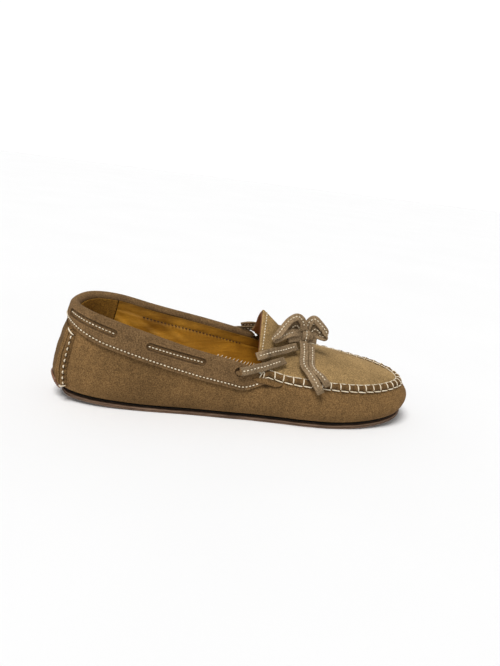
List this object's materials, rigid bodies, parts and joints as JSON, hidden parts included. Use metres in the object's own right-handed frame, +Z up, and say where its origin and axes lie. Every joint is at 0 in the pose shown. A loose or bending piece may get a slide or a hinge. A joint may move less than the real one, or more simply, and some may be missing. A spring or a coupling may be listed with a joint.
{
  "type": "driving moccasin",
  "caption": "Slip-on suede driving moccasin for the right foot, with a hand-stitched apron, a padded collar threaded with a flat lace, a bow and a thin flexible sole.",
  "frame": {"origin": "on the ground under the middle of the shoe, free lace left out", "axes": "+X from heel to toe, -Y towards the outer (lateral) side, +Z up"},
  "size_m": [0.2524, 0.0888, 0.0705],
  "materials": {
    "wall_suede": "napped suede, brown taupe",
    "apron_suede": "napped suede, lighter khaki",
    "collar_suede": "napped suede, grey taupe",
    "lace_suede": "napped suede lace with a stitched middle",
    "lining_leather": "smooth golden tan lining leather",
    "lining_suede": "brushed tan leather heel grip",
    "sock_leather": "smooth golden tan leather",
    "sole_leather": "matt brown sole",
    "sole_edge": "matt near-black",
    "edge_leather": "smooth reddish brown leather",
    "fibreboard": "matt fibreboard",
    "foam": "soft foam",
    "thread": "waxed cream thread"
  },
  "bodies": {
    "shoe": {"outsole": "sole_leather", "midsole": "sole_edge", "insole_board": "fibreboard", "heel_cushion": "foam", "sock_liner": "sock_leather", "wall": "wall_suede", "heel_counter": "fibreboard", "toe_puff": "fibreboard", "heel_lining": "lining_suede", "lining_lateral": "lining_leather", "lining_medial": "lining_leather", "toe_lining": "lining_leather", "vamp_lining": "lining_leather", "apron": "apron_suede", "apron_seam": "wall_suede", "apron_thread": "thread", "collar": "collar_suede", "collar_padding": "foam", "collar_thread": "thread", "collar_lace": "lace_suede", "heel_ridge_lateral": "wall_suede", "heel_thread_lateral": "thread", "heel_ridge_medial": "wall_suede", "heel_thread_medial": "thread", "heel_strip": "wall_suede", "heel_tab": "edge_leather", "strap_lower_lateral": "lace_suede", "strap_upper_lateral": "lace_suede", "strap_lower_medial": "lace_suede", "strap_upper_medial": "lace_suede", "lace_knot": "lace_suede"},
    "tongue_flap": {"tongue": "apron_suede", "tongue_lining": "edge_leather", "tongue_thread": "thread"},
    "loop_rear": {"bow_loop_rear": "lace_suede"},
    "loop_front": {"bow_loop_front": "lace_suede"},
    "end_lateral": {"lace_end_lateral": "lace_suede"},
    "end_medial": {"lace_end_medial": "lace_suede"}
  },
  "joints": [
    {"name": "tongue_tilt", "type": "hinge", "parent": "shoe", "child": "tongue_flap", "pos_m": [0.0194, 0.0023, 0.046], "axis": [0, -1, 0], "range_deg": [0, 13]},
    {"name": "loop_rear_lift", "type": "hinge", "parent": "shoe", "child": "loop_rear", "pos_m": [0.0414, -0.0027, 0.054], "axis": [-1, 0, 0], "range_deg": [0, 20]},
    {"name": "loop_front_lift", "type": "hinge", "parent": "shoe", "child": "loop_front", "pos_m": [0.0454, 0.0003, 0.054], "axis": [-1, 0, 0], "range_deg": [0, 20]},
    {"name": "end_lateral_lift", "type": "hinge", "parent": "shoe", "child": "end_lateral", "pos_m": [0.0414, -0.0072, 0.051], "axis": [-1, 0, 0], "range_deg": [0, 45]},
    {"name": "end_medial_lift", "type": "hinge", "parent": "shoe", "child": "end_medial", "pos_m": [0.048, -0.0072, 0.051], "axis": [-1, 0, 0], "range_deg": [0, 45]}
  ]
}
